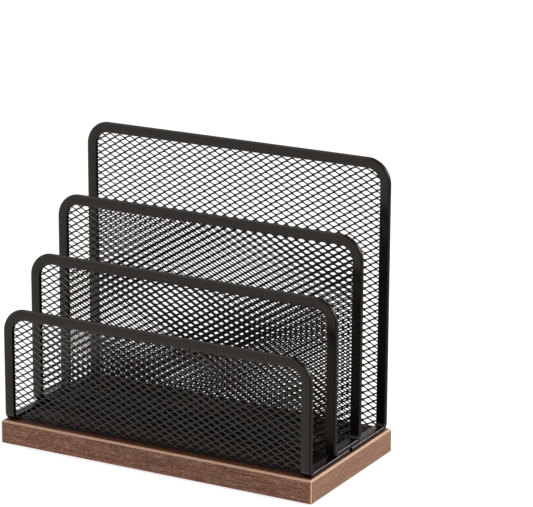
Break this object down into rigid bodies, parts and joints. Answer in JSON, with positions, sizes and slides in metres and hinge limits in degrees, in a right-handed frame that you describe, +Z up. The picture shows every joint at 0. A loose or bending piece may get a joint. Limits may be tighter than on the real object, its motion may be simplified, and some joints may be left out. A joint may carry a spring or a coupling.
{
  "type": "desktop file sorter",
  "caption": "Stepped desktop sorter: nested folded trays of black expanded-metal mesh with rolled rims stand on a bevelled walnut-look board, making upright slots for letters and files.",
  "frame": {"origin": "on the resting surface, under the middle of the part's plan box", "axes": "+X to the right along the front, +Y to the back (the tallest upright), +Z up"},
  "size_m": [0.21, 0.102, 0.1802],
  "materials": {
    "board_core": "raw pressed wood",
    "walnut_veneer": "matt dark walnut stain",
    "walnut_edge": "matt walnut stain, sanded to pale wood on the bevels",
    "black_mesh": "satin black powder coat on expanded steel",
    "black_rim": "satin black powder coat on folded steel strip",
    "black_screw": "black oxide",
    "black_nylon": "matt moulded",
    "foot_rubber": "matt"
  },
  "bodies": {
    "root": {"board_core": "board_core", "top_veneer": "walnut_veneer", "bottom_veneer": "walnut_veneer", "front_edge_band": "walnut_edge", "back_edge_band": "walnut_edge", "left_edge_band": "walnut_edge", "right_edge_band": "walnut_edge", "outer_tray_mesh": "black_mesh", "inner_tray_mesh": "black_mesh", "outer_tray_rim": "black_rim", "inner_tray_rim": "black_rim", "tray_screw_1": "black_screw", "tray_washer_1": "black_screw", "floor_bush_1": "black_nylon", "foot_pad_1": "foot_rubber", "tray_screw_2": "black_screw", "tray_washer_2": "black_screw", "floor_bush_2": "black_nylon", "foot_pad_2": "foot_rubber", "tray_screw_3": "black_screw", "tray_washer_3": "black_screw", "floor_bush_3": "black_nylon", "foot_pad_3": "foot_rubber", "tray_screw_4": "black_screw", "tray_washer_4": "black_screw", "floor_bush_4": "black_nylon", "foot_pad_4": "foot_rubber"}
  },
  "joints": []
}
